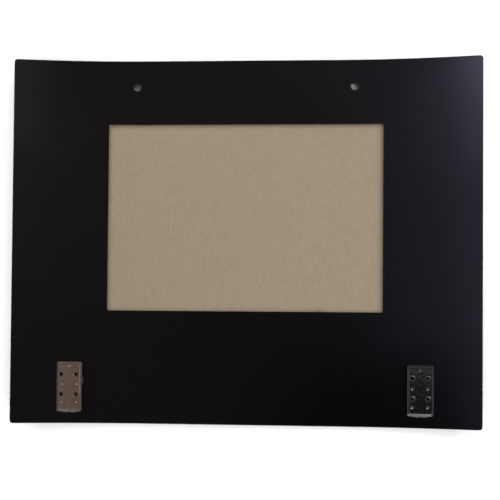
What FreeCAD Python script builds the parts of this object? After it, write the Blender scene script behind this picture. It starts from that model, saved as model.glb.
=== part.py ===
# Oven door glass: a tempered pane, bent back at both sides, with a black fired print
# around a clear window, two handle holes and two stamped hinge plates bonded near the
# bottom corners. The pane lies on its front face; the rear face, which the oven sees, is up.
# X runs across the pane, Y towards its top edge, Z up; millimetres throughout.

import FreeCAD
import Part
import Sketcher
import math
import os

os.makedirs("parts", exist_ok=True)
doc = FreeCAD.newDocument("oven_door_glass")
sheet = doc.addObject("Spreadsheet::Sheet", "dims")

VALUES = {
    # the pane
    "pane_width": 595,
    "pane_height": 468,
    "pane_thickness": 4,
    "bend_run": 176,
    "bend_radius": 1820,
    "pane_corner_radius": 4,
    "edge_arris": 0.6,
    # the two holes for the handle screws
    "handle_spacing": 280,
    "handle_from_top": 34,
    "handle_hole_dia": 10,
    # the black print on the rear face
    "print_thickness": 0.3,
    "print_seat": 0.1,
    "print_margin": 0.8,
    "print_corner_radius": 3.2,
    "print_ring_gap": 1.2,
    "window_width": 352,
    "window_height": 240,
    "window_from_top": 83,
    "window_corner_radius": 1,
    # the stamped hinge plates
    "plate_from_side": 59.5,
    "plate_from_bottom": 15.7,
    "plate_width": 32.2,
    "plate_height": 63.5,
    "plate_sheet": 1.2,
    "plate_corner_radius": 2.5,
    "field_side_inset": 2.5,
    "field_top_inset": 2,
    "field_low_inset": 4,
    "field_corner_radius": 1.2,
    "field_lift": 1.2,
    "recess_inset": 0.9,
    "tongue_run": 1.5,
    "tongue_width": 21,
    "hole_columns": 19.3,
    "hole_row_pitch": 25.5,
    "hole_shift": 0.6,
    "hole_from_top": 16,
    "plate_hole_dia": 4.5,
    "hole_countersink": 0.7,
    "pip_dia": 3.6,
    "pip_lift": 0.6,
    "pip_upper_from_top": 29,
    "pip_lower_from_top": 52,
    "pip_middle_from_top": 6,
    # the silicone beds under the plates
    "bed_least": 0.6,
    "bed_seat": 0.05,
    "bed_inset": 0.8,
    "bed_hole_clearance": 1.5,
    "bulge_out": 2.4,
    "bulge_overlap": 1,
    "bulge_length": 12,
    "bulge_from_top": 17,
}
for row, (name, value) in enumerate(VALUES.items(), start=1):
    sheet.set(f"A{row}", name)
    sheet.set(f"B{row}", str(value))
    sheet.setAlias(f"B{row}", name)
doc.recompute()


def v(name):
    return float(VALUES[name])


def total(one, other):
    return (one[0] + other[0], f"{one[1]} + {other[1]}")


def minus(one, other):
    return (one[0] - other[0], f"{one[1]} - {other[1]}")


# sizes that follow from the values above, each a number with the formula that binds it
ZERO = (0, "0")
THROUGH = (100, "100 mm")
# two lengths in mm that differ by less count as the same
NEAR = 0.01
HALF_WIDTH = (v("pane_width") / 2, "dims.pane_width / 2")
HALF_HEIGHT = (v("pane_height") / 2, "dims.pane_height / 2")
FLAT = (HALF_WIDTH[0] - v("bend_run"), "(dims.pane_width / 2 - dims.bend_run)")
REAR_RADIUS = (v("bend_radius"), "dims.bend_radius")
FRONT_RADIUS = (v("bend_radius") + v("pane_thickness"), "dims.bend_radius + dims.pane_thickness")
# The print and the silicone each keep a hair clear of the face below, so that no two bite
PRINT_FOOT = (v("bend_radius") - v("print_seat"), "dims.bend_radius - dims.print_seat")
PRINT_RADIUS = (
    PRINT_FOOT[0] - v("print_thickness"),
    "dims.bend_radius - dims.print_seat - dims.print_thickness",
)
BED_RADIUS = (
    PRINT_RADIUS[0] - v("bed_seat"),
    "dims.bend_radius - dims.print_seat - dims.print_thickness - dims.bed_seat",
)
PLATE_X = (
    HALF_WIDTH[0] - v("plate_from_side") - v("plate_width") / 2,
    "(dims.pane_width / 2 - dims.plate_from_side - dims.plate_width / 2)",
)
PLATE_TOP = (
    -HALF_HEIGHT[0] + v("plate_from_bottom") + v("plate_height"),
    "(dims.plate_from_bottom + dims.plate_height - dims.pane_height / 2)",
)
# The plates stay level, so the height of the bent print under their outer edges sets theirs
UNDERSIDE = (
    FRONT_RADIUS[0]
    - math.sqrt(PRINT_RADIUS[0] ** 2 - (v("bend_run") - v("plate_from_side")) ** 2)
    + v("bed_least"),
    f"dims.bend_radius + dims.pane_thickness - sqrt(({PRINT_RADIUS[1]}) ^ 2"
    " - (dims.bend_run - dims.plate_from_side) ^ 2) + dims.bed_least",
)


def bind(sketch, kind, *where, size):
    number, formula = size
    index = sketch.addConstraint(Sketcher.Constraint(kind, *where, number))
    sketch.setExpression(f"Constraints[{index}]", formula)
    return index


def place(sketch, geo, point, kind, size):
    # sets one coordinate of a point from the sketch origin; a zero puts it on the axis
    number, formula = size
    if number == 0:
        axis = -2 if kind == "DistanceX" else -1
        sketch.addConstraint(Sketcher.Constraint("PointOnObject", geo, point, axis))
    elif number > 0:
        bind(sketch, kind, -1, 1, geo, point, size=size)
    else:
        bind(sketch, kind, geo, point, -1, 1, size=(-number, f"-({formula})"))


def pin(sketch, geo, point, x, y):
    place(sketch, geo, point, "DistanceX", x)
    place(sketch, geo, point, "DistanceY", y)


def line(x0, y0, x1, y1):
    return Part.LineSegment(FreeCAD.Vector(x0, y0, 0), FreeCAD.Vector(x1, y1, 0))


def arc(cx, cy, radius, start, end):
    circle = Part.Circle(FreeCAD.Vector(cx, cy, 0), FreeCAD.Vector(0, 0, 1), radius)
    return Part.ArcOfCircle(circle, start, end)


def polygon(sketch, corners):
    # corners: (x, y) pairs, each coordinate a number with its formula
    first = None
    count = len(corners)
    for i in range(count):
        (x0, y0), (x1, y1) = corners[i], corners[(i + 1) % count]
        geo = sketch.addGeometry(line(x0[0], y0[0], x1[0], y1[0]), False)
        first = geo if first is None else first
    for i in range(count):
        after = first + (i + 1) % count
        sketch.addConstraint(Sketcher.Constraint("Coincident", first + i, 2, after, 1))
    for i, (x, y) in enumerate(corners):
        pin(sketch, first + i, 1, x, y)


def box(sketch, left, right, low, high):
    polygon(sketch, [(left, low), (right, low), (right, high), (left, high)])


def circle(sketch, x, y, radius):
    centre = FreeCAD.Vector(x[0], y[0], 0)
    geo = sketch.addGeometry(Part.Circle(centre, FreeCAD.Vector(0, 0, 1), radius[0]), False)
    bind(sketch, "Radius", geo, size=radius)
    pin(sketch, geo, 3, x, y)


def rounded_box(sketch, left, right, low, high, radius):
    (x0, x1, y0, y1), r = (left[0], right[0], low[0], high[0]), radius[0]
    quarter = math.pi / 2
    sketch.addGeometry(
        [
            line(x0 + r, y0, x1 - r, y0),
            arc(x1 - r, y0 + r, r, -quarter, 0),
            line(x1, y0 + r, x1, y1 - r),
            arc(x1 - r, y1 - r, r, 0, quarter),
            line(x1 - r, y1, x0 + r, y1),
            arc(x0 + r, y1 - r, r, quarter, 2 * quarter),
            line(x0, y1 - r, x0, y0 + r),
            arc(x0 + r, y0 + r, r, 2 * quarter, 3 * quarter),
        ],
        False,
    )
    for i in range(8):
        sketch.addConstraint(Sketcher.Constraint("Tangent", i, 2, (i + 1) % 8, 1))
    for i, way in ((0, "Horizontal"), (2, "Vertical"), (4, "Horizontal"), (6, "Vertical")):
        sketch.addConstraint(Sketcher.Constraint(way, i))
    for i in (3, 5, 7):
        sketch.addConstraint(Sketcher.Constraint("Equal", 1, i))
    bind(sketch, "Radius", 1, size=radius)
    place(sketch, 2, 1, "DistanceX", right)
    place(sketch, 6, 1, "DistanceX", left)
    place(sketch, 0, 1, "DistanceY", low)
    place(sketch, 4, 1, "DistanceY", high)


def body(label):
    made = doc.addObject("PartDesign::Body", label)
    made.Label = label
    return made


def sketch_on(owner, role, name, lift=None):
    plane = next(f for f in owner.Origin.OriginFeatures if f.Role == role)
    made = doc.addObject("Sketcher::SketchObject", name)
    owner.addObject(made)
    made.AttachmentSupport = [(plane, "")]
    made.MapMode = "FlatFace"
    if lift is not None:
        made.setExpression("AttachmentOffset.Base.z", lift[1])
    return made


def feature(owner, kind, name, profile, length, both_ways=False, reverse=False):
    made = owner.newObject(f"PartDesign::{kind}", name)
    made.Profile = profile
    made.setExpression("Length", length[1])
    made.Type = 0
    if both_ways:
        made.SideType = "Symmetric"
    made.Reversed = reverse
    profile.Visibility = False
    doc.recompute()
    return made


def dress(owner, kind, name, base, pick, size):
    names = [f"Edge{i}" for i, e in enumerate(base.Shape.Edges, start=1) if pick(e)]
    if not names:
        raise RuntimeError(f"{name}: no edge found")
    made = owner.newObject(f"PartDesign::{kind}", name)
    made.Base = (base, names)
    made.setExpression("Size" if kind == "Chamfer" else "Radius", size)
    doc.recompute()
    return made


def bent_profile(sketch, lower, upper, bottom, half):
    # section across the pane: flat in the middle, an arc of the bend at each side.
    # lower and upper are the radii of the two faces, bottom the height of the lower one
    f = FLAT[0]
    top = bottom[0] + lower[0] - upper[0]
    cz = bottom[0] + lower[0]
    turn = math.asin((half[0] - f) / lower[0])
    down = -math.pi / 2
    ends = [
        (f + r * math.sin(turn), cz - r * math.cos(turn)) for r in (lower[0], upper[0])
    ]
    (xl, zl), (xu, zu) = ends
    sketch.addGeometry(
        [
            line(-f, bottom[0], f, bottom[0]),
            arc(f, cz, lower[0], down, down + turn),
            line(xl, zl, xu, zu),
            arc(f, cz, upper[0], down, down + turn),
            line(f, top, -f, top),
            arc(-f, cz, upper[0], down - turn, down),
            line(-xu, zu, -xl, zl),
            arc(-f, cz, lower[0], down - turn, down),
        ],
        False,
    )
    con = Sketcher.Constraint
    for made in (
        con("Tangent", 0, 2, 1, 1),
        con("Tangent", 0, 1, 7, 2),
        con("Tangent", 4, 1, 3, 1),
        con("Tangent", 4, 2, 5, 2),
        con("Perpendicular", 1, 2, 2, 1),
        con("Coincident", 2, 2, 3, 2),
        con("Perpendicular", 7, 1, 6, 2),
        con("Coincident", 6, 1, 5, 1),
        con("Coincident", 1, 3, 3, 3),
        con("Coincident", 7, 3, 5, 3),
        con("Symmetric", 0, 1, 0, 2, -2),
        con("Horizontal", 4),
        con("Equal", 3, 5),
    ):
        sketch.addConstraint(made)
    bind(sketch, "DistanceX", 0, 1, 0, 2, size=(2 * f, f"2 * {FLAT[1]}"))
    bind(sketch, "Radius", 3, size=upper)
    bind(sketch, "Radius", 1, size=lower)
    bind(sketch, "DistanceX", -1, 1, 1, 2, size=half)
    bind(sketch, "DistanceX", 7, 1, -1, 1, size=half)
    if bottom[0] == 0:
        sketch.addConstraint(con("PointOnObject", 0, 2, -1))
    else:
        bind(sketch, "DistanceY", -1, 1, 0, 2, size=bottom)


HANDLE_Y = (HALF_HEIGHT[0] - v("handle_from_top"), "dims.pane_height / 2 - dims.handle_from_top")
HANDLE_X = (v("handle_spacing") / 2, "dims.handle_spacing / 2")
LEFT_HANDLE_X = (-HANDLE_X[0], "-dims.handle_spacing / 2")


def stands_across(edge, thickness):
    # a short edge through the sheet: at a corner, or the seam of a round hole
    ends = [p.Point for p in edge.Vertexes]
    if len(ends) != 2 or abs(edge.Length - thickness) > thickness / 10:
        return False
    return abs(ends[0].z - ends[1].z) > thickness / 2


def starts_bend(edge):
    # the tangent line between the flat middle and a bend
    middle = edge.CenterOfMass
    return abs(abs(middle.x) - FLAT[0]) < NEAR and abs(middle.y) < NEAR


# The glass pane
pane = body("glass_pane")
section = sketch_on(pane, "XZ_Plane", "pane_section")
bent_profile(
    section,
    FRONT_RADIUS,
    REAR_RADIUS,
    ZERO,
    HALF_WIDTH,
)
blank = feature(pane, "Pad", "pane_blank", section, (0, "dims.pane_height"), both_ways=True)
dress(
    pane, "Fillet", "pane_corners", blank,
    lambda e: stands_across(e, v("pane_thickness")), "dims.pane_corner_radius",
)
handle = sketch_on(pane, "XY_Plane", "handle_holes")
bore = (v("handle_hole_dia") / 2, "dims.handle_hole_dia / 2")
for across in (LEFT_HANDLE_X, HANDLE_X):
    circle(handle, across, HANDLE_Y, bore)
drilled = feature(pane, "Pocket", "pane_drilled", handle, THROUGH, both_ways=True)
dress(
    pane, "Chamfer", "pane_arris", drilled,
    lambda e: not stands_across(e, v("pane_thickness")) and not starts_bend(e),
    "dims.edge_arris",
)

# The black print fired on the rear face, open over the window and at the handle holes
printed = body("enamel_border")
section = sketch_on(printed, "XZ_Plane", "print_section")
bent_profile(
    section,
    PRINT_FOOT,
    PRINT_RADIUS,
    (v("pane_thickness") + v("print_seat"), "dims.pane_thickness + dims.print_seat"),
    (HALF_WIDTH[0] - v("print_margin"), "dims.pane_width / 2 - dims.print_margin"),
)
layer = feature(
    printed, "Pad", "print_layer", section,
    (0, "dims.pane_height - 2 * dims.print_margin"), both_ways=True,
)
dress(
    printed, "Fillet", "print_corners", layer,
    lambda e: stands_across(e, v("print_thickness")), "dims.print_corner_radius",
)
window = sketch_on(printed, "XY_Plane", "window_outline")
window_half = (v("window_width") / 2, "dims.window_width / 2")
window_top = (HALF_HEIGHT[0] - v("window_from_top"), "dims.pane_height / 2 - dims.window_from_top")
rounded_box(
    window,
    (-window_half[0], "-dims.window_width / 2"),
    window_half,
    (window_top[0] - v("window_height"), window_top[1] + " - dims.window_height"),
    window_top,
    (v("window_corner_radius"), "dims.window_corner_radius"),
)
feature(printed, "Pocket", "window_opening", window, THROUGH, both_ways=True)
rings = sketch_on(printed, "XY_Plane", "clear_rings")
ring = (bore[0] + v("print_ring_gap"), "dims.handle_hole_dia / 2 + dims.print_ring_gap")
for across in (LEFT_HANDLE_X, HANDLE_X):
    circle(rings, across, HANDLE_Y, ring)
feature(printed, "Pocket", "ring_openings", rings, THROUGH, both_ways=True)


# The hinge plates, drawn from the middle of their top edge: a flat field with sloping sides
# pressed up out of the sheet, countersunk screw holes, five pips and a short tongue below
def down(*names, sign=-1):
    # a distance down the plate, the names added up; "-name" takes a value off
    total = sum(-v(n[1:]) if n[0] == "-" else v(n) for n in names)
    formula = "".join(f" - dims.{n[1:]}" if n[0] == "-" else f" + dims.{n}" for n in names)
    return (sign * total, f"{sign} * (0{formula})")


def half_of(name, less=(), sign=1):
    number = v(name) / 2 - sum(v(n) for n in less)
    formula = f"dims.{name} / 2" + "".join(f" - dims.{n}" for n in less)
    return (sign * number, f"{sign} * ({formula})")


PLATE_LOW = down("plate_height")
FIELD_LOW = down("plate_height", "-field_low_inset")
RECESS_SIDES = ("field_side_inset", "recess_inset")
RECESS = [
    half_of("plate_width", RECESS_SIDES, -1),
    half_of("plate_width", RECESS_SIDES),
    down("plate_height", "-field_low_inset", "-recess_inset"),
    down("field_top_inset", "recess_inset"),
]
# holes and pips stand a little left of the middle of both plates
SHIFT = (v("hole_shift"), "dims.hole_shift")
HOLE_PLACES = [
    (minus(half_of("hole_columns", sign=sign), SHIFT), row)
    for sign in (-1, 1)
    for row in (down("hole_from_top"), down("hole_from_top", "hole_row_pitch"))
]
FIELD_TOP = (v("plate_sheet") + v("field_lift"), "dims.plate_sheet + dims.field_lift")


def hinge_plate(label, side):
    made = body(label)
    thick = (v("plate_sheet"), "dims.plate_sheet")

    def outline(name, lift=None):
        sk = sketch_on(made, "XY_Plane", name, lift)
        rounded_box(
            sk, half_of("plate_width", sign=-1), half_of("plate_width"), PLATE_LOW, ZERO,
            (v("plate_corner_radius"), "dims.plate_corner_radius"),
        )
        return sk

    feature(made, "Pad", f"{label}_flange", outline(f"{label}_outline"), (0, "dims.plate_sheet"))
    foot = outline(f"{label}_slope_foot", thick)
    crest = sketch_on(made, "XY_Plane", f"{label}_slope_crest", FIELD_TOP)
    rounded_box(
        crest,
        half_of("plate_width", ("field_side_inset",), -1),
        half_of("plate_width", ("field_side_inset",)),
        FIELD_LOW,
        down("field_top_inset"),
        (v("field_corner_radius"), "dims.field_corner_radius"),
    )
    slope = made.newObject("PartDesign::AdditiveLoft", f"{label}_field")
    slope.Profile = foot
    slope.Sections = [(crest, [""])]
    slope.Ruled = True
    foot.Visibility = False
    crest.Visibility = False
    doc.recompute()
    tongue = sketch_on(made, "XY_Plane", f"{label}_tongue_outline")
    box(
        tongue,
        half_of("tongue_width", sign=-1),
        half_of("tongue_width"),
        down("plate_height", "tongue_run"),
        down("plate_height", "-tongue_run"),
    )
    feature(made, "Pad", f"{label}_tongue", tongue, (0, "dims.plate_sheet"))
    hollow = sketch_on(made, "XY_Plane", f"{label}_recess_outline")
    box(hollow, *RECESS)
    feature(made, "Pocket", f"{label}_recess", hollow, (0, "dims.field_lift"), reverse=True)
    holes = sketch_on(made, "XY_Plane", f"{label}_hole_outlines")
    for x, y in HOLE_PLACES:
        circle(holes, x, y, half_of("plate_hole_dia"))
    drilled = feature(made, "Pocket", f"{label}_holes", holes, THROUGH, both_ways=True)
    round_hole = math.pi * v("plate_hole_dia")
    dress(
        made, "Chamfer", f"{label}_countersinks", drilled,
        lambda e: abs(e.Length - round_hole) < NEAR and e.CenterOfMass.z > FIELD_TOP[0] - NEAR,
        "dims.hole_countersink",
    )
    # the pips are low domes: each a turned cap whose rim lies on the field
    for number, (x, y) in enumerate(
        [
            (minus(half_of("hole_columns", sign=sign), SHIFT), down(name))
            for sign in (-1, 1)
            for name in ("pip_upper_from_top", "pip_lower_from_top")
        ] + [(minus(ZERO, SHIFT), down("pip_middle_from_top"))]
    ):
        ball = (v("pip_dia") ** 2 / 4 + v("pip_lift") ** 2) / (2 * v("pip_lift"))
        ball_formula = "((dims.pip_dia ^ 2 / 4 + dims.pip_lift ^ 2) / (2 * dims.pip_lift))"
        cap = made.newObject("PartDesign::AdditiveSphere", f"{label}_pip_{number}")
        plane = next(f for f in made.Origin.OriginFeatures if f.Role == "XY_Plane")
        cap.AttachmentSupport = [(plane, "")]
        cap.MapMode = "FlatFace"
        cap.setExpression("Radius", ball_formula)
        # only the dome stands out of the sheet: the ball is cut off below the field's top
        cap.setExpression("Angle1", f"asin(({ball_formula} - dims.pip_lift) / {ball_formula})")
        cap.Angle2 = 90
        cap.setExpression("AttachmentOffset.Base.x", x[1])
        cap.setExpression("AttachmentOffset.Base.y", y[1])
        cap.setExpression(
            "AttachmentOffset.Base.z", f"{FIELD_TOP[1]} + dims.pip_lift - {ball_formula}"
        )
        doc.recompute()
    made.setExpression("Placement.Base.x", f"{side} * {PLATE_X[1]}")
    made.setExpression("Placement.Base.y", PLATE_TOP[1])
    made.setExpression("Placement.Base.z", UNDERSIDE[1])
    doc.recompute()
    return made


plates = [hinge_plate("bracket_left", -1), hinge_plate("bracket_right", 1)]


# The silicone beds: thin at the outer edge, thick at the inner one, where the pane falls away
def bed(label, side):
    made = body(label)
    f = side * FLAT[0]
    reach = half_of("plate_width", ("bed_inset",))
    near = (PLATE_X[0] - reach[0], f"{PLATE_X[1]} - {reach[1]}")
    far = (PLATE_X[0] + reach[0], f"{PLATE_X[1]} + {reach[1]}")
    radius, cz = BED_RADIUS[0], FRONT_RADIUS[0]

    def on_pane(x):
        return cz - math.sqrt(radius ** 2 - (x - FLAT[0]) ** 2)

    def section(name, left, right, top):
        # left and right are distances from the middle plane, left the nearer one
        sk = sketch_on(made, "XZ_Plane", name)
        xl, xr = side * left[0], side * right[0]
        zl, zr = on_pane(left[0]), on_pane(right[0])
        a0 = math.atan2(zl - cz, xl - f)
        a1 = math.atan2(zr - cz, xr - f)
        low, high = (a0, a1) if side > 0 else (a1, a0)
        sk.addGeometry(
            [
                arc(f, cz, radius, low, high),
                line(xr, zr, xr, top[0]),
                line(xr, top[0], xl, top[0]),
                line(xl, top[0], xl, zl),
            ],
            False,
        )
        near_point, far_point = (1, 2) if side > 0 else (2, 1)
        con = Sketcher.Constraint
        for c in (
            con("Coincident", 0, far_point, 1, 1),
            con("Coincident", 1, 2, 2, 1),
            con("Coincident", 2, 2, 3, 1),
            con("Coincident", 3, 2, 0, near_point),
            con("Vertical", 1),
            con("Horizontal", 2),
            con("Vertical", 3),
        ):
            sk.addConstraint(c)
        bind(sk, "Radius", 0, size=BED_RADIUS)
        pin(sk, 0, 3, (f, f"{side} * {FLAT[1]}"), FRONT_RADIUS)
        if side > 0:
            bind(sk, "DistanceX", -1, 1, 1, 1, size=right)
            bind(sk, "DistanceX", -1, 1, 3, 1, size=left)
        else:
            bind(sk, "DistanceX", 1, 1, -1, 1, size=right)
            bind(sk, "DistanceX", 3, 1, -1, 1, size=left)
        bind(sk, "DistanceY", -1, 1, 2, 1, size=top)
        return sk

    main = section(f"{label}_section", near, far, UNDERSIDE)
    main.setExpression("AttachmentOffset.Base.z", f"dims.bed_inset - {PLATE_TOP[1]}")
    feature(
        made, "Pad", f"{label}_wedge", main, (0, "dims.plate_height - 2 * dims.bed_inset")
    )
    # the silicone rises into the hollow of the plate
    middle = (side * PLATE_X[0], f"{side} * {PLATE_X[1]}")
    left, right, low, high = RECESS
    hollow = sketch_on(made, "XY_Plane", f"{label}_rise_outline", UNDERSIDE)
    box(
        hollow,
        total(middle, left), total(middle, right), total(PLATE_TOP, low), total(PLATE_TOP, high),
    )
    feature(made, "Pad", f"{label}_rise", hollow, (0, "dims.field_lift"))
    # a squeezed-out bulge on the side that faces right
    out = (v("bulge_out"), "dims.bulge_out")
    back = (v("bulge_overlap"), "dims.bulge_overlap")
    ends = (minus(near, out), total(near, back)) if side < 0 else (minus(far, back), total(far, out))
    bump = section(f"{label}_bulge_section", *ends, UNDERSIDE)
    bump.setExpression("AttachmentOffset.Base.z", f"dims.bulge_from_top - {PLATE_TOP[1]}")
    feature(made, "Pad", f"{label}_bulge", bump, (0, "dims.bulge_length"))
    # clear round the screw holes of the plate, down to the print
    clear = sketch_on(made, "XY_Plane", f"{label}_hole_outlines")
    gap = (
        v("plate_hole_dia") / 2 + v("bed_hole_clearance"),
        "dims.plate_hole_dia / 2 + dims.bed_hole_clearance",
    )
    for x, y in HOLE_PLACES:
        circle(clear, total(middle, x), total(PLATE_TOP, y), gap)
    feature(made, "Pocket", f"{label}_holes", clear, THROUGH, both_ways=True)
    return made


beds = [bed("adhesive_left", -1), bed("adhesive_right", 1)]

doc.recompute()
problems = []
for item in doc.Objects:
    bad = [s for s in item.State if s in ("Invalid", "Error")]
    if bad:
        problems.append(f"{item.Name}: {bad}")
    if item.isDerivedFrom("Sketcher::SketchObject") and not item.FullyConstrained:
        problems.append(f"{item.Name}: not fully constrained")
bodies = [pane, printed, *plates, *beds]
for item in bodies:
    shape = item.Shape
    if shape.isNull() or not shape.isValid() or len(shape.Solids) != 1:
        problems.append(f"{item.Label}: shape is null, not valid or not one solid")
if problems:
    raise RuntimeError("; ".join(problems))
for item in bodies:
    item.Shape.exportStep(f"parts/{item.Label}.step")
    b = item.Shape.BoundBox
    print(
        f"{item.Label}: volume {item.Shape.Volume:.1f} mm3, faces {len(item.Shape.Faces)},"
        f" x {b.XMin:.2f}..{b.XMax:.2f}, y {b.YMin:.2f}..{b.YMax:.2f}, z {b.ZMin:.2f}..{b.ZMax:.2f}"
    )
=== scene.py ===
# %% [markdown]
# # The outer glass of an oven door, seen from behind
# This lesson dresses one oven door glass. It is a pane of toughened glass, bent back a little
# at both sides. Its rear face carries a black ceramic print around a clear window. Two holes
# near the top take the handle's screws, and two pressed steel plates are bonded near the
# bottom corners, where the door's hinges hold it. The pane lies on its front face, so the
# camera looks down on its rear face. Lengths are in metres, as in the solid model.

import math

import bmesh
import bpy
from mathutils import Euler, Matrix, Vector, noise


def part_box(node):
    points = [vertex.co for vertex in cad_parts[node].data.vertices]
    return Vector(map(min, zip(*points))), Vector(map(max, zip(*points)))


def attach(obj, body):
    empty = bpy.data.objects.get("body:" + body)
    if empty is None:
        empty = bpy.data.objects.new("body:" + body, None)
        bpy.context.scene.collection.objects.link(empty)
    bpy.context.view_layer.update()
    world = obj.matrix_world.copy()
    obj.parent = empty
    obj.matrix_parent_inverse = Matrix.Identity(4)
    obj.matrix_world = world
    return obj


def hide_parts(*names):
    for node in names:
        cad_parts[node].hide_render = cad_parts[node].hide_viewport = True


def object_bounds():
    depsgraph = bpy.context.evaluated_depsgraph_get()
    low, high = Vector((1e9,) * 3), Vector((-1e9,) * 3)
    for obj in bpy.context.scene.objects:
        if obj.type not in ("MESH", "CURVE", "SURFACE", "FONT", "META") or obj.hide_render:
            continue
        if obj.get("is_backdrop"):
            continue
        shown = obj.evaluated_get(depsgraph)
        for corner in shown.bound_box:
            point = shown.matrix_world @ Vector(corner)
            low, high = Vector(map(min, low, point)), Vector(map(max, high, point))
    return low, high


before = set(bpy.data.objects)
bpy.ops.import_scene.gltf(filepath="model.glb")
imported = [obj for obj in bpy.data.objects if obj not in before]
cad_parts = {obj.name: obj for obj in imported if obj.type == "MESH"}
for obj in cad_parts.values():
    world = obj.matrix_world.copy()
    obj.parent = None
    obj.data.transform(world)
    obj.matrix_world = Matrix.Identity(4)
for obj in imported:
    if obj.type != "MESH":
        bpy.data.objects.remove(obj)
solid_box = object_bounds()
MM = 0.001
print("nodes:", sorted(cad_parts))

# %% [markdown]
# ## The size of the pane
# The solid model holds every piece at its real size. The pane and the print are made again
# here with many more facets, because a broad gloss shows each facet of a bend. The numbers
# below are those of the solid model: a flat middle, and from there a gentle arc to each side.

# %% Sizes of the pane
PANE_HALF_WIDTH = 297.5 * MM
PANE_HALF_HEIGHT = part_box("glass_pane")[1].y
PANE_CORNER = 4 * MM
GLASS = 4 * MM
ARRIS = 0.6 * MM
BEND_RUN = 176 * MM
FLAT_HALF = PANE_HALF_WIDTH - BEND_RUN
REAR_RADIUS = 1820 * MM
FRONT_RADIUS = REAR_RADIUS + GLASS
HANDLE_X, HANDLE_Y = 140 * MM, 200 * MM
HANDLE_RADIUS = 5 * MM


# %% [markdown]
# ## Bending a flat sheet
# Glass is cut and drilled flat, and sags to its bend in the furnace. The pieces here are
# made the same way: an outline is filled flat, cut into narrow strips across the bend, and
# then each point is swung round the bend's centre. That keeps corners and holes crisp, which
# a bend modifier on a coarse mesh would not.

# %% Swing a flat point round the bend
def bent(x, y, height):
    """Where a point of the flat sheet goes, height above the front face. At the rear face it
    keeps its distance from the middle, as seen from above."""
    past = abs(x) - FLAT_HALF
    if past <= 0:
        return Vector((x, y, height))
    turn = math.asin(past / REAR_RADIUS)
    radius = FRONT_RADIUS - height
    side = math.copysign(FLAT_HALF + radius * math.sin(turn), x)
    return Vector((side, y, FRONT_RADIUS - radius * math.cos(turn)))


print("a point at the side:", [round(c / MM, 2) for c in bent(PANE_HALF_WIDTH, 0, GLASS)])


# %% [markdown]
# ### Outlines
# Every sheet of this part is a plain outline with holes. Both are lists of points, so that
# the same few lines draw the pane, the print, its window and the plates.

# %% Draw outlines
CORNER_STEPS = 6


def rounded_outline(x0, x1, y0, y1, radius, steps=CORNER_STEPS):
    """Points round a rectangle with rounded corners, anticlockwise from its upper right."""
    points = []
    for cx, cy, start in (
        (x1 - radius, y1 - radius, 0),
        (x0 + radius, y1 - radius, 90),
        (x0 + radius, y0 + radius, 180),
        (x1 - radius, y0 + radius, 270),
    ):
        for i in range(steps + 1):
            a = math.radians(start + 90 * i / steps)
            points.append((cx + radius * math.cos(a), cy + radius * math.sin(a)))
    return points


def round_outline(cx, cy, radius, steps=64):
    angles = [2 * math.pi * i / steps for i in range(steps)]
    return [(cx + radius * math.cos(a), cy + radius * math.sin(a)) for a in angles]


def pane_outline(margin=0.0):
    """The outline of the pane, drawn in by a margin."""
    x, y = PANE_HALF_WIDTH - margin, PANE_HALF_HEIGHT - margin
    return rounded_outline(-x, x, -y, y, PANE_CORNER - margin)


def handle_holes(clearance=0.0):
    """The two holes for the handle, widened by a clearance."""
    return [round_outline(s * HANDLE_X, HANDLE_Y, HANDLE_RADIUS + clearance) for s in (-1, 1)]


print("the pane's outline has", len(pane_outline()), "points")


# %% [markdown]
# ### From outlines to a sheet
# A flat curve fills itself between its outer outline and its holes, so no face has to be
# drawn by hand. Its extrusion gives the thickness, and its bevel the ground edge.

# %% Fill outlines into a sheet
def placed(name, data):
    """A new object with this data, in the scene."""
    item = bpy.data.objects.new(name, data)
    bpy.context.scene.collection.objects.link(item)
    return item


def filled_sheet(name, loops, thickness, arris=0.0):
    """A flat sheet with holes, centred on z = 0; an arris breaks its edges at 45 degrees."""
    curve = bpy.data.curves.new(name + "_outline", "CURVE")
    curve.dimensions = "2D"
    curve.fill_mode = "BOTH"
    for loop in loops:
        spline = curve.splines.new("POLY")
        spline.points.add(len(loop) - 1)
        for point, (x, y) in zip(spline.points, loop):
            point.co = (x, y, 0, 1)
        spline.use_cyclic_u = True
    curve.extrude = thickness / 2 - arris
    curve.bevel_depth = arris
    curve.bevel_resolution = 0
    curve.offset = -arris
    holder = placed(name + "_outline", curve)
    bpy.context.view_layer.update()
    mesh = bpy.data.meshes.new_from_object(holder)
    bpy.data.objects.remove(holder)
    bpy.data.curves.remove(curve)
    mesh.name = name
    print(name, "is filled flat with", len(mesh.polygons), "faces")
    return placed(name, mesh)


# %% Open a mesh and close it again
WELD, CUT = 1e-6, 1e-7


def sliced(piece, places_x, places_y=()):
    """The welded mesh of a piece, cut across at the given places, so that it can bend there."""
    bm = bmesh.new()
    bm.from_mesh(piece.data)
    bmesh.ops.remove_doubles(bm, verts=bm.verts, dist=WELD)
    for normal, places in ((Vector((1, 0, 0)), places_x), (Vector((0, 1, 0)), places_y)):
        for place in places:
            everything = bm.verts[:] + bm.edges[:] + bm.faces[:]
            bmesh.ops.bisect_plane(
                bm, geom=everything, dist=CUT, plane_co=normal * place, plane_no=normal
            )
    return bm


def close_mesh(bm, mesh, sharp):
    """Turns the faces outward and smooths all edges up to the sharp angle, in degrees."""
    bmesh.ops.recalc_face_normals(bm, faces=bm.faces)
    bm.to_mesh(mesh)
    bm.free()
    mesh.shade_smooth()
    mesh.set_sharp_from_angle(angle=math.radians(sharp))
    print(mesh.name, "has", len(mesh.polygons), "faces")


# %% [markdown]
# ### A bend without facets
# Smooth shading guesses the normal from the faces around a point, and long thin faces make
# it guess badly. The bend is a true arc, so its normals are worked out and given instead.

# %% Bend a sheet
STRIPS = 44
LEVEL = 0.97


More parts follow.
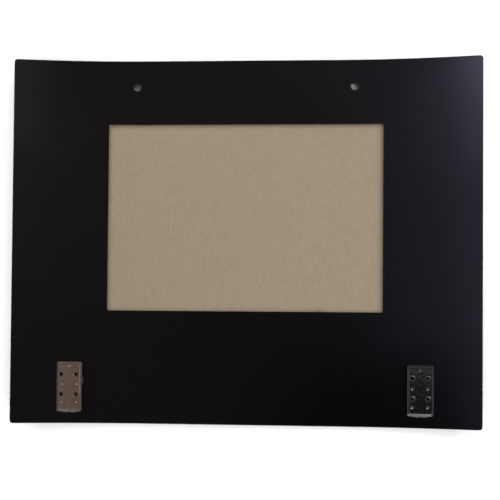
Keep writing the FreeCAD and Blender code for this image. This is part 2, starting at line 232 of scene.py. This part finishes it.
def smooth_bend(mesh):
    """Gives the broad sides, which are nearly level, the true normal of the bend."""
    normals = [Vector(corner.vector) for corner in mesh.corner_normals]
    for face in mesh.polygons:
        if abs(face.normal.z) > LEVEL:
            for corner in face.loop_indices:
                x = mesh.vertices[mesh.loops[corner].vertex_index].co.x
                turn = math.asin(max(abs(x) - FLAT_HALF, 0) / REAR_RADIUS)
                up = Vector((-math.copysign(math.sin(turn), x), 0, math.cos(turn)))
                normals[corner] = up if face.normal.z > 0 else -up
    mesh.normals_split_custom_set(normals)


def bend_sheet(piece, base):
    """Bends a flat sheet; base is the height of its lower face above the front face."""
    cuts = [FLAT_HALF + BEND_RUN * i / STRIPS for i in range(STRIPS)]
    bm = sliced(piece, [-c for c in cuts] + cuts)
    lift = base - min(v.co.z for v in bm.verts)
    for vert in bm.verts:
        vert.co = bent(vert.co.x, vert.co.y, vert.co.z + lift)
    close_mesh(bm, piece.data, 25)
    smooth_bend(piece.data)


# %% [markdown]
# ## The pane
# The real pane is 4 mm float glass. Its edges and holes are ground to a dull arris before it
# is toughened, so light catches them as a thin grey line. The arris is real geometry here,
# made as the bevel of the filled outline.

# %% Make the pane
pane = filled_sheet("pane", [pane_outline()] + handle_holes(), GLASS, ARRIS)
bend_sheet(pane, 0.0)

# %% [markdown]
# ## The black print
# Ceramic ink is screened on the glass and melts into it when the pane is toughened. It stops
# a little short of the ground edges and of the two holes, and leaves the window clear. It is
# a body of its own here, so that it has an edge and hides what lies under it. Its foot dips
# into the glass by a hair, so that no light slips in between.

# %% Make the print
PRINT_TOP = 4.4 * MM
PRINT_FOOT = GLASS - 0.02 * MM
PRINT_MARGIN = 0.8 * MM
HOLE_CLEARANCE = 1.2 * MM
WINDOW_HALF = 176 * MM
WINDOW_TOP, WINDOW_LOW = 151 * MM, -89 * MM
WINDOW_CORNER = 1 * MM
window = rounded_outline(-WINDOW_HALF, WINDOW_HALF, WINDOW_LOW, WINDOW_TOP, WINDOW_CORNER)
printed = filled_sheet(
    "print",
    [pane_outline(PRINT_MARGIN), window] + handle_holes(HOLE_CLEARANCE),
    PRINT_TOP - PRINT_FOOT,
)
bend_sheet(printed, PRINT_FOOT)

# %% [markdown]
# ## The hinge plates
# Each plate is pressed from thin steel: a flat field stands a little proud, with sloping
# sides down to the rim, a short tongue at the bottom, four countersunk screw holes and five
# pips. A press leaves every bend soft. So the plate starts as a flat outline with its holes,
# is cut into a fine grid, and each point is then lifted by a smooth height. Its place comes
# from the solid model, and places on it are measured from its middle and down from its top.

# %% Sizes of a plate
PLATE_LOW_CORNER, PLATE_HIGH_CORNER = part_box("bracket_right")
PLATE_X = (PLATE_LOW_CORNER.x + PLATE_HIGH_CORNER.x) / 2
PLATE_HALF = (PLATE_HIGH_CORNER.x - PLATE_LOW_CORNER.x) / 2
PLATE_TOP = PLATE_HIGH_CORNER.y
PLATE_UNDERSIDE = PLATE_LOW_CORNER.z
SOLID_TONGUE = 1.5 * MM
PLATE_LENGTH = PLATE_HIGH_CORNER.y - PLATE_LOW_CORNER.y - SOLID_TONGUE
PLATE_CORNER = 2.5 * MM
SHEET = 1.2 * MM
TONGUE, TONGUE_HALF = 1.0 * MM, 10.5 * MM
SCREW_RADIUS = 2.25 * MM
COLUMN, SHIFT = 9.65 * MM, -0.6 * MM
COLUMNS = (SHIFT - COLUMN, SHIFT + COLUMN)
SCREW_HOLES = [(x, down) for x in COLUMNS for down in (16 * MM, 41.5 * MM)]
PIPS = [(SHIFT, 6 * MM)] + [(x, down) for x in COLUMNS for down in (29 * MM, 52 * MM)]
print("plates start", round(PLATE_UNDERSIDE / MM, 2), "mm above the floor")

# %% Sizes of what the press raises and sinks
FIELD_LIFT = 1.2 * MM
SLOPE, LOW_SLOPE = (0.1 * MM, 2.2 * MM), (0.1 * MM, 3.8 * MM)
PIP_RADIUS, PIP_HEIGHT = 2.4 * MM, 0.4 * MM
SINK, SINK_DEPTH = (2.2 * MM, 3.4 * MM), 0.7 * MM
TONGUE_DROP = 0.7 * MM


# %% The height of the pressed sheet
def eased(value, low, high):
    """0 below low, 1 above high, and a soft S between them."""
    t = min(max((value - low) / (high - low), 0), 1)
    return t * t * (3 - 2 * t)


def ramped(value, low, high, soft=0.2):
    """0 below low, 1 above high, straight between them with both ends rounded."""
    t = min(max((value - low) / (high - low), 0), 1)
    if t < soft:
        return t * t / (2 * soft * (1 - soft))
    if t > 1 - soft:
        return 1 - (1 - t) ** 2 / (2 * soft * (1 - soft))
    return (t - soft / 2) / (1 - soft)


def pressed_height(x, down):
    """How far the sheet stands above the rim at a point of the plate."""
    height = (
        FIELD_LIFT
        * ramped(PLATE_HALF - abs(x), *SLOPE)
        * ramped(down, *SLOPE)
        * ramped(PLATE_LENGTH - down, *LOW_SLOPE)
    )
    for px, pd in PIPS:
        reach = math.hypot(x - px, down - pd) / PIP_RADIUS
        height += PIP_HEIGHT * max(1 - reach * reach, 0) ** 2
    for hx, hd in SCREW_HOLES:
        distance = math.hypot(x - hx, down - hd)
        height -= SINK_DEPTH * (1 - eased(distance, *SINK))
    return height - TONGUE_DROP * ramped(down, PLATE_LENGTH, PLATE_LENGTH + TONGUE)


print("a pip rises to", round(pressed_height(*PIPS[1]) / MM, 2), "mm above the rim")

# %% Press the plates
GRID = 0.4 * MM
GRID_TO_A_SIDE, GRID_DOWN = 39, 162


def plate_outline():
    """A rounded rectangle, with the tongue between its lower left and lower right corners."""
    body = rounded_outline(-PLATE_HALF, PLATE_HALF, -PLATE_LENGTH, 0, PLATE_CORNER)
    tongue = [
        (-TONGUE_HALF, -PLATE_LENGTH),
        (-TONGUE_HALF, -PLATE_LENGTH - TONGUE),
        (TONGUE_HALF, -PLATE_LENGTH - TONGUE),
        (TONGUE_HALF, -PLATE_LENGTH),
    ]
    three_corners = 3 * (CORNER_STEPS + 1)
    return body[:three_corners] + tongue + body[three_corners:]


def pressed_plate(name, side):
    holes = [round_outline(x, -down, SCREW_RADIUS, 48) for x, down in SCREW_HOLES]
    plate = filled_sheet(name, [plate_outline()] + holes, SHEET)
    across = [GRID * i for i in range(-GRID_TO_A_SIDE, GRID_TO_A_SIDE + 1)]
    bm = sliced(plate, across, [-GRID * i for i in range(1, GRID_DOWN + 1)])
    for vert in bm.verts:
        x, down = vert.co.x, -vert.co.y
        vert.co.z += SHEET / 2 + pressed_height(x, down) + PLATE_UNDERSIDE
        vert.co.x += side * PLATE_X
        vert.co.y += PLATE_TOP
    close_mesh(bm, plate.data, 50)
    return plate


plates = [pressed_plate("plate_left", -1), pressed_plate("plate_right", 1)]

# %% [markdown]
# ## The silicone under the plates
# Black silicone holds each plate and takes up the wedge between the level plate and the
# bent pane. A bead never squeezes out evenly, so its rim wanders a little, and on the right
# of each plate it swells out here and there. The bead is a stack of rings, from the print up
# to the underside of the plate, each ring an outline pushed in or out.

# %% Sizes of a silicone bead
BEAD_INSET = 0.7 * MM
BEAD_HALF, BEAD_LENGTH = PLATE_HALF - BEAD_INSET, PLATE_LENGTH - 2 * BEAD_INSET
BEAD_CORNER, BEAD_CORNER_STEPS = 2.4 * MM, 8
BEAD_PITCH = 0.8 * MM
BEAD_BULGE, BEAD_WANDER = 0.45 * MM, 0.35 * MM
SWELL_FADE = (2 * MM, 8 * MM)
BITE = 0.02 * MM
# each ring's share of the bead's height, and its share of the bulge
RINGS = [(0.0, 0.35), (0.15, 0.75), (0.5, 1.0), (0.85, 0.75), (1.0, 0.3)]
print("a bead is", round(BEAD_LENGTH / MM, 2), "mm long")


# %% The outline of a bead and its bulge
def bead_outline():
    """The plate's outline drawn in, with points close enough together to wander."""
    corners = rounded_outline(
        -BEAD_HALF, BEAD_HALF, -BEAD_LENGTH, 0, BEAD_CORNER, BEAD_CORNER_STEPS
    )
    points = []
    for (x0, y0), (x1, y1) in zip(corners, corners[1:] + corners[:1]):
        parts = max(1, round(math.hypot(x1 - x0, y1 - y0) / BEAD_PITCH))
        points += [(x0 + (x1 - x0) * i / parts, y0 + (y1 - y0) * i / parts) for i in range(parts)]
    return points


def bulge(x, y, swells, seed):
    """How far the bead stands out at a point of its outline."""
    wander = noise.noise(Vector((x * 260, y * 190, seed))) * BEAD_WANDER
    swell = 0.0
    if x > BEAD_HALF * 0.9:
        for down, size in swells:
            swell += size * (1 - eased(abs(-y - down), *SWELL_FADE))
    return BEAD_BULGE + wander + swell


# %% Make the silicone beads
def silicone_bead(name, side, swells, seed):
    """A bead under one plate; each swell has its place down the plate and its size."""
    bm = bmesh.new()
    rings = []
    for share, fullness in RINGS:
        ring = []
        for x, y in bead_outline():
            slant = Vector((x, (y + BEAD_LENGTH / 2) * BEAD_HALF * 2 / BEAD_LENGTH, 0))
            normal = slant.normalized()
            out = bulge(x, y, swells, seed) * fullness
            px = side * PLATE_X + x + normal.x * out
            py = PLATE_TOP - BEAD_INSET + y + normal.y * out
            low = bent(px, py, PRINT_TOP).z - BITE
            top = PLATE_UNDERSIDE + BITE
            ring.append(bm.verts.new((px, py, low + (top - low) * share)))
        rings.append(ring)
    for lower, upper in zip(rings, rings[1:]):
        for i in range(len(lower)):
            j = (i + 1) % len(lower)
            bm.faces.new((lower[i], lower[j], upper[j], upper[i]))
    bm.faces.new(list(reversed(rings[0])))
    bm.faces.new(rings[-1])
    mesh = bpy.data.meshes.new(name)
    close_mesh(bm, mesh, 60)
    return placed(name, mesh)


beads = [
    silicone_bead("silicone_left", -1, [(23 * MM, 1.9 * MM)], 3.1),
    silicone_bead("silicone_right", 1, [(22 * MM, 1.3 * MM), (46 * MM, 1.2 * MM)], 8.4),
]


# %% [markdown]
# ## Helpers for the finishes
# A finish is a small node tree around one Principled shader. The helpers make the tree, set
# the plain values on the shader's own sockets, and add the soft patterns of wear. Patterns
# are placed by the object's own coordinates, in metres, so they need no unwrapping.

# %% Start a finish and give it to a piece
def finish_of(name, **values):
    material = bpy.data.materials.new(name)
    material.use_nodes = True
    tree = material.node_tree
    shader = tree.nodes["Principled BSDF"]
    for socket, value in values.items():
        shader.inputs[socket.replace("_", " ")].default_value = value
    return material, tree, shader


def wear(piece, *materials):
    piece.data.materials.clear()
    for material in materials:
        piece.data.materials.append(material)
    print(piece.name, "wears", [material.name for material in materials])


# %% Add and join nodes
def add(tree, kind, **settings):
    """A new node; each setting is the value of an input, or else of the node itself."""
    node = tree.nodes.new(kind)
    for key, value in settings.items():
        socket = key.replace("_", " ")
        if socket in node.inputs:
            node.inputs[socket].default_value = value
        else:
            setattr(node, key, value)
    return node


def place_of(tree):
    """The point of the piece itself, in metres, the same on every piece."""
    return add(tree, "ShaderNodeTexCoord").outputs["Object"]


def combined(tree, operation, first, second):
    """Two values taken together, such as their sum or the larger of them."""
    node = add(tree, "ShaderNodeMath", operation=operation)
    tree.links.new(first, node.inputs[0])
    tree.links.new(second, node.inputs[1])
    return node.outputs["Value"]


# %% Patterns and what they drive
def cloud(tree, scale, detail=3.0, rough=0.55, stretch=(1, 1, 1)):
    """Soft uneven patches from 0 to 1; scale is how many to a metre."""
    mapping = add(tree, "ShaderNodeMapping", Scale=stretch)
    tree.links.new(place_of(tree), mapping.inputs["Vector"])
    tex = add(tree, "ShaderNodeTexNoise", Scale=scale, Detail=detail, Roughness=rough)
    tree.links.new(mapping.outputs["Vector"], tex.inputs["Vector"])
    return tex.outputs["Fac"]


def spread(tree, source, low, high, from_low=0.0, from_high=1.0):
    """The source's range from_low to from_high, stretched to low to high."""
    node = add(
        tree, "ShaderNodeMapRange", From_Min=from_low, From_Max=from_high, To_Min=low, To_Max=high
    )
    tree.links.new(source, node.inputs["Value"])
    return node.outputs["Result"]


def blend_colours(tree, share, first, second):
    """The first colour where share is 0, and the second where it is 1."""
    node = add(tree, "ShaderNodeMix", data_type="RGBA")
    tree.links.new(share, node.inputs[0])
    colours = [socket for socket in node.inputs if socket.type == "RGBA"]
    for socket, colour in zip(colours, (first, second)):
        socket.default_value = (*colour, 1)
    return next(socket for socket in node.outputs if socket.type == "RGBA")


def bump(tree, shader, source, strength, distance):
    node = add(tree, "ShaderNodeBump", Strength=strength, Distance=distance)
    tree.links.new(source, node.inputs["Height"])
    tree.links.new(node.outputs["Normal"], shader.inputs["Normal"])


# %% [markdown]
# ## Glass
# The window shows the pale floor through a light bronze tint. Light passes the pane twice,
# down and back up, so the tint of one pass is about the square root of the colour seen. A
# faint film and a slow ripple keep the surface from being a perfect mirror.

# %% Glass
GLASS_TINT = (0.547, 0.4915, 0.415)
glass, tree, shader = finish_of(
    "clear_glass", Base_Color=(*GLASS_TINT, 1), Transmission_Weight=1.0, IOR=1.52, Roughness=0.0
)
film = cloud(tree, 60, 5, 0.6)
tree.links.new(spread(tree, film, 0.0, 0.035, 0.45, 0.9), shader.inputs["Roughness"])
ripple = cloud(tree, 18, 2, 0.5)
bump(tree, shader, ripple, 0.06, 0.0004)
print("one pass through the glass keeps", GLASS_TINT)

# %% [markdown]
# ### Dirt on the window
# A cloth leaves faint streaks across the pane, and a small brown smear sits on the lower
# edge of the window. The smear is a ragged ellipse: the distance from its middle, in units of
# its reach, with some noise added. Where both would show, the stronger one wins.

# %% Streaks and a smear
SMEAR_MIDDLE = (95.5 * MM, -88.5 * MM, 0)
SMEAR_REACH = (13 * MM, 4.6 * MM, 1)
SOILED_TINT = (0.42, 0.35, 0.28)
smear_place = add(
    tree,
    "ShaderNodeMapping",
    Location=[-c / r for c, r in zip(SMEAR_MIDDLE, SMEAR_REACH)],
    Scale=[1 / r for r in SMEAR_REACH],
)
tree.links.new(place_of(tree), smear_place.inputs["Vector"])
apart = add(tree, "ShaderNodeVectorMath", operation="LENGTH")
tree.links.new(smear_place.outputs["Vector"], apart.inputs[0])
fray = spread(tree, cloud(tree, 420, 3), -0.4, 0.4, 0.3, 0.7)
ragged = combined(tree, "ADD", apart.outputs["Value"], fray)
smear = spread(tree, ragged, 1, 0, 0.35, 1.0)
streaks = spread(tree, cloud(tree, 330, 2, 0.6, stretch=(1, 0.3, 1)), 0, 0.34, 0.38, 0.66)
soiled = combined(tree, "MAXIMUM", smear, streaks)
tree.links.new(
    blend_colours(tree, soiled, GLASS_TINT, SOILED_TINT), shader.inputs["Base Color"]
)
print("the smear is", round(2 * SMEAR_REACH[0] / MM), "mm wide")

# %% [markdown]
# ### Lamplight through the glass
# Bent rays from lamps would speckle the floor under the pane. So for lamps the glass steps
# aside: a mix lets their rays straight through, tinted, and the window stays free of grain.

# %% Let lamplight straight through
STRAIGHT_THROUGH = [c ** 0.5 * 0.98 for c in GLASS_TINT]
through = add(tree, "ShaderNodeBsdfTransparent", Color=(*STRAIGHT_THROUGH, 1))
ray = add(tree, "ShaderNodeLightPath")
aside = combined(tree, "MAXIMUM", ray.outputs["Is Shadow Ray"], ray.outputs["Is Diffuse Ray"])
mix = add(tree, "ShaderNodeMixShader")
tree.links.new(aside, mix.inputs["Fac"])
tree.links.new(shader.outputs["BSDF"], mix.inputs[1])
tree.links.new(through.outputs["BSDF"], mix.inputs[2])
tree.links.new(mix.outputs["Shader"], tree.nodes["Material Output"].inputs["Surface"])
print("lamplight keeps", [round(c, 2) for c in STRAIGHT_THROUGH])

# %% [markdown]
# ### Ground edges
# A grinding belt leaves the edge of the glass dull and grey, with a fine grit. It is a second
# finish on the same pane, given to every face that is not part of a broad side.

# %% Ground edges
GROUND_DARK, GROUND_PALE = (0.004, 0.004, 0.004), (0.011, 0.0115, 0.011)
BROAD_SIDE = 0.9
ground, tree, shader = finish_of(
    "ground_edge", Base_Color=(0.007, 0.007, 0.007, 1), Roughness=0.5
)
grit = cloud(tree, 2600, 2, 0.7)
bump(tree, shader, grit, 0.35, 0.00008)
tree.links.new(
    blend_colours(tree, cloud(tree, 240, 4), GROUND_DARK, GROUND_PALE),
    shader.inputs["Base Color"],
)
wear(pane, glass, ground)
for face in pane.data.polygons:
    face.material_index = 1 if abs(face.normal.z) < BROAD_SIDE else 0
print("ground faces:", sum(face.material_index for face in pane.data.polygons))

# %% [markdown]
# ## The fired print
# Fired enamel is a satin black with a very fine orange peel. Wiping leaves faint streaks in
# its sheen, and a little dust always lies on it. All of that is far below what the eye reads
# as a pattern, so each layer is weak, and each has its own scale.

# %% Print
BLACK, DUSTY = (0.0009, 0.0007, 0.0009), (0.005, 0.0045, 0.0045)
black, tree, shader = finish_of("black_print", Base_Color=(*BLACK, 1), Roughness=0.22)
wipes = cloud(tree, 14, 5, 0.6, stretch=(0.6, 2.4, 1))
haze = cloud(tree, 5, 3, 0.5)
sheen = combined(
    tree, "ADD", spread(tree, wipes, 0.0, 0.04, 0.3, 0.75), spread(tree, haze, 0.21, 0.25, 0.3, 0.7)
)
tree.links.new(sheen, shader.inputs["Roughness"])
dust = spread(tree, cloud(tree, 900, 2, 0.8), 0.0, 1.0, 0.72, 0.8)
tree.links.new(blend_colours(tree, dust, BLACK, DUSTY), shader.inputs["Base Color"])
peel = cloud(tree, 1500, 2, 0.5)
bump(tree, shader, peel, 0.12, 0.00004)
wear(printed, black)

# %% [markdown]
# ## Steel
# The plates are smooth pressed steel, almost a mirror, with fine rolling lines along their
# length and a stain here and there. Pressing leaves the sheet a little wavy, which breaks up
# what it mirrors. So the relief is a soft waviness, with the rolling lines only just in it.

# %% Steel
STEEL_BRIGHT, STEEL_STAINED = (0.44, 0.43, 0.42), (0.39, 0.38, 0.37)
steel, tree, shader = finish_of(
    "plate_steel", Base_Color=(0.42, 0.41, 0.4, 1), Metallic=1.0, Roughness=0.1
)
rolled = cloud(tree, 900, 3, 0.6, stretch=(1, 0.04, 1))
tree.links.new(spread(tree, rolled, 0.08, 0.12, 0.3, 0.7), shader.inputs["Roughness"])
stain = spread(tree, cloud(tree, 55, 4, 0.6), 0, 1, 0.35, 0.7)
tree.links.new(
    blend_colours(tree, stain, STEEL_BRIGHT, STEEL_STAINED), shader.inputs["Base Color"]
)
relief = combined(
    tree, "ADD", cloud(tree, 190, 2, 0.5), spread(tree, rolled, 0, 0.006, 0.3, 0.7)
)
bump(tree, shader, relief, 1.0, 0.00018)
for plate in plates:
    wear(plate, steel)

# %% [markdown]
# ## Silicone
# The silicone is black and soft, with the low gloss of a rubber that cured in the open. One
# pattern drives both its sheen and its skin, so that the dull spots are also the rough ones.

# %% Silicone
rubber, tree, shader = finish_of(
    "black_silicone", Base_Color=(0.012, 0.0115, 0.012, 1), Roughness=0.35
)
skin = cloud(tree, 420, 4, 0.6)
tree.links.new(spread(tree, skin, 0.28, 0.5), shader.inputs["Roughness"])
bump(tree, shader, skin, 0.3, 0.0002)
for bead in beads:
    wear(bead, rubber)

# %% [markdown]
# ## Hang each piece on the body in place of its node
# Every piece rides on the one rigid body, and the plain node it was made from is hidden, so that
# the piece replaces it.

# %% Ride and replace
for piece, node, slot in (
    (pane, "glass_pane", "clear_glass"),
    (printed, "enamel_border", "black_print"),
    (plates[0], "bracket_left", "plate_steel"),
    (plates[1], "bracket_right", "plate_steel"),
    (beads[0], "adhesive_left", "black_silicone"),
    (beads[1], "adhesive_right", "black_silicone"),
):
    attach(piece, "root")
    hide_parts(node)
    print(piece.name, "stands for", node)

# %% [markdown]
# ## Floor
# The floor is plain and pale, and level. It is drawn in two flush parts, because the floor
# seen through the window gets its light from one panel above, as if no frame cast a shadow
# on it. It lies a hair below the pane, so that no two faces share a plane.

# %% Floor
FLOOR_HALF = 6
FLOOR_LEVEL = -0.4 * MM
pale, tree, shader = finish_of("pale_floor", Base_Color=(0.82, 0.82, 0.81, 1), Roughness=0.8)


def rectangle(x0, x1, y0, y1):
    return [(x0, y0), (x1, y0), (x1, y1), (x0, y1)]


def flat_part(name, points, faces):
    mesh = bpy.data.meshes.new(name)
    mesh.from_pydata([(x, y, 0) for x, y in points], [], faces)
    part = placed(name, mesh)
    part.location.z = FLOOR_LEVEL
    wear(part, pale)
    part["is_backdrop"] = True
    return part


outer = rectangle(-FLOOR_HALF, FLOOR_HALF, -FLOOR_HALF, FLOOR_HALF)
inner = rectangle(-0.2, 0.2, -0.11, 0.172)
between = [(i, (i + 1) % 4, 4 + (i + 1) % 4, 4 + i) for i in range(4)]
floor = flat_part("floor", outer + inner, between)
floor_in_window = flat_part("floor_in_window", inner, [(0, 1, 2, 3)])

# %% [markdown]
# ## Light
# Above a black mirror the light matters more by what it leaves out. The sky is dark overhead,
# so the print stays black, and rises to a soft grey lower down, which the sloping rims of the
# plates pick up. It is one ramp over the angle from its darkest point.

# %% Sky
# how bright the sky is at some angles, in degrees, from its darkest point
SKY = [
    (0, 0.012), (8, 0.013), (13, 0.035), (20, 0.095), (27, 0.098), (34, 0.1), (40, 0.125),
    (46, 0.185), (52, 0.21), (58, 0.12), (66, 0.045), (90, 0.035),
]
SKY_COLOUR = Vector((1.05, 0.94, 1.0))
LEAN_RIGHT, LEAN_NEAR = math.radians(16), math.radians(19)
DARKEST = Vector((math.tan(LEAN_RIGHT), -math.tan(LEAN_NEAR), 1)).normalized()
world = bpy.data.worlds.new("studio")
bpy.context.scene.world = world
world.use_nodes = True
tree = world.node_tree
ways = add(tree, "ShaderNodeTexCoord")
toward = add(tree, "ShaderNodeVectorMath", operation="DOT_PRODUCT")
toward.inputs[1].default_value = DARKEST
tree.links.new(ways.outputs["Generated"], toward.inputs[0])
angle = add(tree, "ShaderNodeMath", operation="ARCCOSINE")
tree.links.new(toward.outputs["Value"], angle.inputs[0])
ramp = add(tree, "ShaderNodeValToRGB")
tree.links.new(spread(tree, angle.outputs["Value"], 0, 1, 0, math.pi / 2), ramp.inputs["Fac"])
stops = ramp.color_ramp.elements
for degrees, _ in SKY[1:-1]:
    stops.new(degrees / 90)
for stop, (_, level) in zip(stops, SKY):
    stop.color = (*(SKY_COLOUR * level), 1)
tree.links.new(ramp.outputs["Color"], tree.nodes["Background"].inputs["Color"])
print("the sky has", len(stops), "stops")


# %% [markdown]
# ### Lamps
# Four wide lamps near the floor make it white all round, and one panel lights the floor under
# the window. They are kept out of the reflections. Two small lamps stand low beside the pane
# and light one side of each handle hole.

# %% Lamps
def group(name, pieces):
    collection = bpy.data.collections.new(name)
    for piece in pieces:
        collection.objects.link(piece)
    return collection


def lamp(name, place, size, radiance, only, aim=(0, 0, 0), colour=(1, 1, 1), seen=False):
    """A soft box of the given brightness, which lights only the given pieces. Where seen is
    true, it also shows in the gloss of what it lights."""
    light = bpy.data.lights.new(name, "AREA")
    light.shape = "RECTANGLE"
    light.size, light.size_y = size
    light.energy = radiance * math.pi * size[0] * size[1]
    light.color = colour
    holder = placed(name, light)
    holder.location = place
    holder.rotation_euler = (Vector(aim) - Vector(place)).to_track_quat("-Z", "Y").to_euler()
    holder.visible_glossy = seen
    holder.visible_transmission = seen
    holder.light_linking.receiver_collection = group(name + "_lights", only)
    print(name, "lights", [piece.name for piece in only])


FILL_AWAY, FILL_HEIGHT, FILL_SIZE = 2.4, 0.8, (2.4, 0.35)
KEY_SIZE = (0.12, 0.12)
LEFT_HOLE, RIGHT_HOLE = (-HANDLE_X, HANDLE_Y, 0), (HANDLE_X, HANDLE_Y, 0)
all_but_window = [floor, pane, printed] + plates + beads
for name, x, y in (("east", 1, 0), ("north", 0, 1), ("west", -1, 0), ("south", 0, -1)):
    fill_place = (x * FILL_AWAY, y * FILL_AWAY, FILL_HEIGHT)
    lamp("fill_" + name, fill_place, FILL_SIZE, 31, all_but_window)
lamp("right_key", (0.5, 0.15, 0.3), KEY_SIZE, 15, all_but_window, aim=RIGHT_HOLE)
lamp("top_key", (-0.05, 0.55, 0.35), KEY_SIZE, 6, all_but_window, aim=LEFT_HOLE)
lamp("window_panel", (0.3, 0.14, 0.7), (2, 2), 2.27, [floor_in_window], aim=(0.25, 0.1, 0))

# %% [markdown]
# ### Cards
# A glossy piece shows what stands around it. So each group of pieces gets cards of its own,
# as a photographer would place them: blue ones along the right of the black glass, warm ones
# over the left plate, and a few small bright ones that make the pips of the plates shine.
# No two cards of a group lie in one plane where they overlap, or one of them would be lost.

# %% Cards that only some pieces see
def card(name, x, y, size, radiance, colour, only, height=0.6):
    """A soft box that hangs level over the pane and faces down."""
    lamp(name, (x, y, height), size, radiance, only, (x, y, 0), colour, seen=True)


black_glass = [pane, printed]
card("side_high", 0.41, 0.32, (0.12, 0.26), 0.95, (0.655, 0.671, 1.0), black_glass, 0.3)
card("side_low", 0.41, -0.06, (0.12, 0.5), 0.388, (0.655, 0.667, 1.0), black_glass, 0.3)
card("side_broad", 0.42, 0.1, (0.24, 0.56), 0.237, (0.603, 0.641, 1.0), black_glass)
card("corner_card", 0.68, 0.72, (0.4, 0.5), 4.1, (0.628, 0.692, 1.0), black_glass)
card("left_card", -0.41, 0.37, (0.1, 0.3), 0.27, (0.98, 1.0, 0.72), black_glass, 0.3)
card("left_low_card", -0.41, 0.09, (0.1, 0.26), 0.05, (0.98, 1.0, 0.72), black_glass, 0.3)
left_side, right_side = [plates[0], beads[0]], [plates[1], beads[1]]
card("warm_card", -0.27, -0.25, (0.95, 0.75), 0.1, (1.0, 0.47, 0.05), left_side)
card("pale_card", 0.15, -0.27, (0.4, 0.5), 0.09, (1.0, 0.9, 0.8), left_side, 0.59)
WALL_SIZE, WALL_COLOUR = (1.6, 0.9), (1.0, 0.86, 0.78)
WALL_HEIGHT = 0.45
WALL_AIM = (-0.2, -0.2, WALL_HEIGHT)
for name, x, y in (("west", -1.2, -0.2), ("north", -0.2, 0.8), ("east", 0.8, -0.2)):
    wall_place = (x, y, WALL_HEIGHT)
    lamp(name + "_wall", wall_place, WALL_SIZE, 0.16, left_side, WALL_AIM, WALL_COLOUR, seen=True)
card("low_left", -0.45, -0.88, (0.9, 0.5), 0.12, (1.0, 0.98, 0.94), left_side)
card("low_right", 0.45, -0.88, (0.9, 0.5), 0.4, (1.0, 0.98, 0.94), right_side)
card("grey_card", 0.43, -0.17, (0.12, 0.15), 0.035, (0.9, 1.0, 0.86), right_side)
card("rim_card", -0.15, -0.16, (0.3, 0.16), 0.07, (0.95, 0.96, 1.0), right_side)
card("right_spark", 0.24, -0.5, (0.3, 0.24), 1.0, (0.9, 0.91, 1.0), right_side)
card("left_spark", -0.24, -0.21, (0.2, 0.2), 0.7, (1.0, 0.97, 0.95), left_side, 0.57)

# %% [markdown]
# ## Camera
# The camera looks almost straight down from about 0.57 m, near enough to spread the sides of
# the pane a little. Its three small tilts and its shift come from a fit to the outline, the
# window and the two holes. The colours are shown as they are, without a film look.

# %% Camera
SENSOR = 36
# in pixels of the picture: its width, the focal length, and the row that the camera faces
PICTURE, FOCAL, FACED_ROW = 500, 444.6, 308.03
TILT = (-0.649, -1.66, -0.455)
EYE_X, EYE_Y, EYE_ABOVE_PRINT = 0.02455, -0.09096, 0.56737
camera_data = bpy.data.cameras.new("camera")
camera = placed("camera", camera_data)
bpy.context.scene.camera = camera
camera_data.sensor_width = SENSOR
camera_data.lens = FOCAL / PICTURE * SENSOR
camera_data.shift_y = (FACED_ROW - PICTURE / 2) / PICTURE
camera_data.clip_start = 0.02
turned = Euler([math.radians(a) for a in TILT], "XYZ")
camera.rotation_euler = turned.to_matrix().transposed().to_euler()
camera.location = (EYE_X, EYE_Y, EYE_ABOVE_PRINT + PRINT_TOP)
print("lens", round(camera_data.lens, 2), "mm")

# %% Colour handling
view = bpy.context.scene.view_settings
view.view_transform = "Standard"
view.look = "None"
print("view transform:", view.view_transform)

# %% [markdown]
# ## The size of the dressed piece
# The dressed piece must stay as large as the solid one, so both boxes are written out.

# %% Sizes
boxes = {"solid": solid_box, "dressed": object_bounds()}
for label, corners in boxes.items():
    print(label, [[round(c / MM, 2) for c in corner] for corner in corners])
